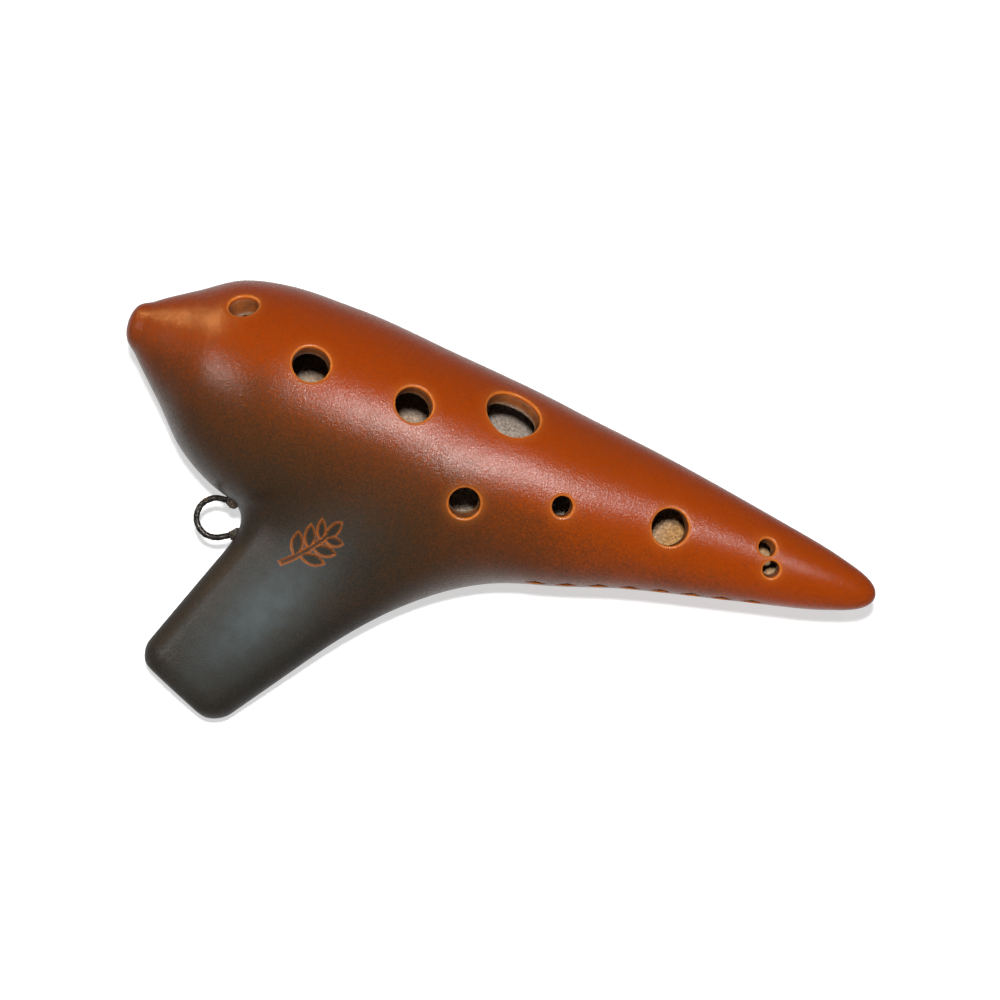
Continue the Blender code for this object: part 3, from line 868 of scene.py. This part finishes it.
class Nodes:
    """A short way to write a material's node tree."""

    def __init__(self, name):
        self.material = bpy.data.materials.new(name)
        self.material.use_nodes = True
        self.tree = self.material.node_tree
        self.shader = self.tree.nodes["Principled BSDF"]
        self.place = self.tree.nodes.new("ShaderNodeTexCoord").outputs["Object"]

    def put(self, target, value):
        if isinstance(value, bpy.types.NodeSocket):
            self.tree.links.new(value, target)
        else:
            target.default_value = value

    def add(self, kind, out=0, settings=None, **inputs):
        """A node's output. An input is given by its name, or as i and its number."""
        node = self.tree.nodes.new(kind)
        for key, value in (settings or {}).items():
            setattr(node, key, value)
        for key, value in inputs.items():
            socket = node.inputs[int(key[1:])] if key[1:].isdigit() else node.inputs[key]
            self.put(socket, value)
        return node.outputs[out]

    def attribute(self, name):
        return self.add("ShaderNodeAttribute", 2, {"attribute_name": name})

    def noise(self, scale, detail=3.0, roughness=0.55):
        inputs = {"Scale": scale, "Detail": detail, "Roughness": roughness}
        return self.add("ShaderNodeTexNoise", Vector=self.place, **inputs)

    def math(self, how, a, b=0.0, clamp=False):
        return self.add(
            "ShaderNodeMath", 0, {"operation": how, "use_clamp": clamp}, i0=a, i1=b
        )

    def spread(self, value, low, high, to_low=0.0, to_high=1.0):
        """Maps low..high to to_low..to_high, clamped."""
        ends = {"i1": low, "i2": high, "i3": to_low, "i4": to_high}
        return self.add("ShaderNodeMapRange", 0, {"clamp": True}, i0=value, **ends)

    def mix(self, share, a, b, how="MIX"):
        node = self.tree.nodes.new("ShaderNodeMix")
        node.data_type, node.blend_type = "RGBA", how
        self.put(node.inputs[0], share)
        self.put(node.inputs[6], a)
        self.put(node.inputs[7], b)
        return node.outputs[2]

    def ramp(self, value, stops):
        node = self.tree.nodes.new("ShaderNodeValToRGB")
        band = node.color_ramp
        while len(band.elements) < len(stops):
            band.elements.new(0.5)
        for element, (at, colour) in zip(band.elements, stops):
            element.position = at
            element.color = (*colour, 1.0)
        self.put(node.inputs[0], value)
        return node.outputs[0]

    def bump(self, height, strength, distance, under=None):
        inputs = {"Strength": strength, "Distance": distance, "Height": height}
        if under is not None:
            inputs["Normal"] = under
        return self.add("ShaderNodeBump", **inputs)

    def finish(self, **inputs):
        """Sets the shader's inputs, named with _ for each space, and gives the material."""
        for key, value in inputs.items():
            self.put(self.shader.inputs[key.replace("_", " ")], value)
        return self.material


# Fired orange to charcoal, at these shares of the stain.
STAIN_COLOURS = (
    (0.00, (0.240, 0.0325, 0.0006)),
    (0.15, (0.204, 0.0325, 0.0016)),
    (0.38, (0.109, 0.0246, 0.0041)),
    (0.55, (0.071, 0.0215, 0.0060)),
    (0.70, (0.046, 0.0192, 0.0072)),
    (0.85, (0.031, 0.0185, 0.0102)),
    (1.00, (0.0155, 0.0133, 0.0100)),
)
# The colour of the bluish highlight painted on the mouthpiece.
PAINTED_HIGHLIGHT_COLOUR = (0.057, 0.068, 0.069)
# The rubbed orange of rims and lines, brightened into a painted highlight.
RUBBED_AND_GLINT = (0.42, 0.115, 0.017)


def stained_clay():
    n = Nodes("stained_clay_looks")
    drift = n.noise(55.0, 4.0)
    mottle = n.noise(420.0, 4.0, 0.65)
    fine = n.noise(2700.0, 3.0, 0.7)
    level = n.math("ADD", n.attribute("stain"), n.spread(drift, 0.3, 0.7, -0.06, 0.06))
    level = n.math("ADD", level, n.spread(mottle, 0.3, 0.7, -0.035, 0.035))
    level = n.math("ADD", level, n.spread(fine, 0.3, 0.7, -0.13, 0.13))
    colour = n.ramp(level, STAIN_COLOURS)
    colour = n.mix(n.spread(fine, 0.35, 0.7, 0.0, 0.42), colour, (0.62, 0.5, 0.42, 1), "MULTIPLY")
    # The mouthpiece's bluish highlight, painted into the base colour and broken up by the mottling.
    painted_highlight = n.math("MULTIPLY", n.attribute("painted_highlight"), n.spread(mottle, 0.25, 0.7, 0.6, 0.95))
    colour = n.mix(painted_highlight, colour, (*PAINTED_HIGHLIGHT_COLOUR, 1))
    glow = n.mix(0.5, colour, (*RUBBED_AND_GLINT, 1))
    colour = n.mix(n.math("MULTIPLY", n.attribute("halo"), 0.35), colour, glow)
    # Rubbed rims and mark lines: worn stain with a painted highlight.
    worn_and_glint = n.math("MULTIPLY", n.attribute("rub_and_glint"), n.spread(n.noise(900.0), 0.3, 0.62, 0.55, 1.0))
    colour = n.mix(n.math("MULTIPLY", n.attribute("pool"), 0.75), colour, (0.02, 0.016, 0.011, 1))
    colour = n.mix(worn_and_glint, colour, (*RUBBED_AND_GLINT, 1))
    patch = n.spread(n.noise(700.0), 0.3, 0.7)
    bored = n.mix(patch, (0.24, 0.065, 0.012, 1), (0.13, 0.04, 0.012, 1))
    grit = n.noise(2400.0, 4.0, 0.75)
    tan = n.mix(n.spread(grit, 0.35, 0.65), (0.13, 0.065, 0.025, 1), (0.42, 0.23, 0.09, 1))
    grey = n.mix(n.spread(grit, 0.35, 0.65), (0.14, 0.11, 0.085, 1), (0.44, 0.36, 0.30, 1))
    raw = n.mix(n.spread(n.noise(45.0, 2.0), 0.42, 0.58), tan, grey)
    colour = n.mix(n.attribute("bare"), colour, raw)
    colour = n.mix(n.attribute("bore"), colour, bored)
    rough = n.spread(mottle, 0.3, 0.7, 0.23, 0.31)
    rough = n.math("ADD", rough, n.spread(fine, 0.3, 0.7, -0.05, 0.05))
    rough = n.math("ADD", rough, n.spread(n.attribute("stain"), 0.75, 0.95, 0.0, 0.17))
    rough = n.math("ADD", rough, n.math("MULTIPLY", n.attribute("bare"), 0.4), True)
    skin = n.bump(n.noise(2800.0, 3.0, 0.75), 0.9, 0.00006)
    skin = n.bump(n.noise(900.0, 3.0, 0.6), 0.22, 0.00012, skin)
    return n.finish(
        Base_Color=colour, Roughness=rough, Normal=skin, Specular_IOR_Level=0.24
    )


def rough_iron():
    n = Nodes("dark_iron_looks")
    scale = n.noise(1500.0, 4.0, 0.6)
    colour = n.mix(n.spread(scale, 0.4, 0.62), (0.012, 0.011, 0.010, 1), (0.075, 0.066, 0.055, 1))
    rough = n.spread(scale, 0.35, 0.65, 0.5, 0.26)
    normal = n.bump(n.noise(2200.0, 3.0, 0.6), 0.6, 0.00008)
    return n.finish(Base_Color=colour, Metallic=0.75, Roughness=rough, Normal=normal)


def rough_slip():
    n = Nodes("stained_slip_looks")
    grit = n.noise(1900.0, 4.0, 0.65)
    colour = n.mix(n.spread(grit, 0.4, 0.65), (0.014, 0.012, 0.010, 1), (0.055, 0.038, 0.024, 1))
    normal = n.bump(n.noise(2600.0, 3.0, 0.6), 0.6, 0.00010)
    return n.finish(Base_Color=colour, Roughness=n.spread(grit, 0.3, 0.7, 0.35, 0.6), Normal=normal)


def bare_clay():
    n = Nodes("bare_clay_looks")
    grit = n.noise(2200.0, 4.0, 0.7)
    colour = n.mix(n.spread(grit, 0.35, 0.65), (0.20, 0.12, 0.07, 1), (0.46, 0.31, 0.19, 1))
    normal = n.bump(grit, 0.5, 0.0001)
    return n.finish(Base_Color=colour, Roughness=n.spread(grit, 0.3, 0.7, 0.7, 0.9), Normal=normal)


def floor_paint():
    n = Nodes("pale_floor")
    colour = n.mix(n.spread(n.noise(30.0), 0.4, 0.6), (0.49, 0.49, 0.49, 1), (0.51, 0.51, 0.51, 1))
    return n.finish(
        Base_Color=colour, Roughness=0.9, Emission_Color=(1, 1, 1, 1), Emission_Strength=0.6
    )


# --- The object ---

front, back = clay_halves()
path = loop_path()
loop = settled("iron_loop", wire_mesh("iron_loop", path))
pellets = [
    settled("slip_upper", lump_mesh("slip_upper", path[LEG_STEPS], path[0], 0.6)),
    settled("slip_lower", lump_mesh("slip_lower", path[-LEG_STEPS - 1], path[-1], 2.4)),
]
clay, iron, slip = stained_clay(), rough_iron(), rough_slip()
for piece, node, slot, looks in (
    (front, "front_shell", "stained_clay", clay),
    (back, "back_shell", "stained_clay", clay),
    (loop, "lanyard_loop", "dark_iron", iron),
    (pellets[0], "loop_collar_upper", "stained_slip", slip),
    (pellets[1], "loop_collar_lower", "stained_slip", slip),
):
    piece.data.materials.clear()
    piece.data.materials.append(looks)
    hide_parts(node)
    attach(piece, "root")
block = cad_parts["fipple_block"]
block.data.materials.clear()
block.data.materials.append(bare_clay())

# --- Studio ---


IMAGE_TURN = math.radians(19.94)
RIGHT = REST_TURN @ Vector((math.cos(IMAGE_TURN), math.sin(IMAGE_TURN), 0.0))
UP = REST_TURN @ Vector((-math.sin(IMAGE_TURN), math.cos(IMAGE_TURN), 0.0))
BACK = REST_TURN @ Vector((0.0, 0.0, 1.0))
LOOK_AT = Vector(rested(np.array([[64.43, -5.86, 0.0]]))[0])
FRAME_WIDTH = 0.157
CAMERA_DISTANCE = 0.8
SENSOR = 36.0
LIGHT_DISTANCE = 0.9
FLOOR_SIZE = 3.0
FLOOR_DROP = 0.0002

camera = linked("camera", bpy.data.cameras.new("camera"))
camera.data.sensor_width = SENSOR
camera.data.lens = SENSOR * CAMERA_DISTANCE / FRAME_WIDTH
camera.data.clip_start, camera.data.clip_end = 0.01, 20.0
axes = Matrix((RIGHT, UP, BACK)).transposed()
camera.matrix_world = Matrix.Translation(LOOK_AT + BACK * CAMERA_DISTANCE) @ axes.to_4x4()
bpy.context.scene.camera = camera


def soft_light(name, right, up, back, width, height, power, colour=(1, 1, 1)):
    """An area light off the camera's axis, facing the ocarina."""
    data = bpy.data.lights.new(name, "AREA")
    data.shape, data.size, data.size_y = "RECTANGLE", width, height
    data.energy, data.color = power, colour
    lamp = linked(name, data)
    away = (RIGHT * right + UP * up + BACK * back).normalized()
    lamp.location = LOOK_AT + away * LIGHT_DISTANCE
    lamp.rotation_mode = "QUATERNION"
    lamp.rotation_quaternion = away.to_track_quat("Z", "Y")
    return lamp


def off_axis(degrees):
    """How far aside, for each metre ahead."""
    return math.tan(math.radians(degrees))


# One light shines down the holes, and the others only gleam.
overhead = soft_light("overhead", 0.0, off_axis(7.2), 1.0, 0.05, 0.05, 13.8)
overhead.visible_glossy = False
key = soft_light("key", off_axis(17), off_axis(14), 1.0, 0.13, 0.05, 10.0)
key.visible_diffuse = False
left = soft_light("left", -0.75, 0.28, 0.6, 0.10, 0.26, 3.4)
left.visible_diffuse = False
corner = soft_light("corner", -0.6, 0.8, 0.03, 0.10, 0.06, 4.0, (1.0, 0.58, 0.20))
corner.visible_diffuse = False

world = bpy.data.worlds.new("studio")
bpy.context.scene.world = world
world.use_nodes = True
# Dim overhead, and bright where the edges of the clay mirror what lies below them.
tree = world.node_tree
sky = tree.nodes["Background"]
way = tree.nodes.new("ShaderNodeSeparateXYZ")
tree.links.new(tree.nodes.new("ShaderNodeTexCoord").outputs["Generated"], way.inputs[0])
glow = tree.nodes.new("ShaderNodeMapRange")
for socket, value in zip(glow.inputs[1:5], (-0.9, -0.4, 0.9, 0.08)):
    socket.default_value = value
tree.links.new(way.outputs["Z"], glow.inputs[0])
tree.links.new(glow.outputs[0], sky.inputs["Strength"])
sky.inputs["Color"].default_value = (1.0, 1.0, 1.0, 1.0)
bpy.context.scene.view_settings.view_transform = "Standard"

bm = bmesh.new()
bmesh.ops.create_grid(bm, x_segments=1, y_segments=1, size=FLOOR_SIZE)
floor_mesh = bpy.data.meshes.new("floor")
bm.to_mesh(floor_mesh)
bm.free()
floor = linked("floor", floor_mesh)
floor.location = (0.0, 0.0, -FLOOR_DROP)
floor.data.materials.append(floor_paint())
# The clay mirrors the dim room and not the bright floor.
floor.visible_glossy = False
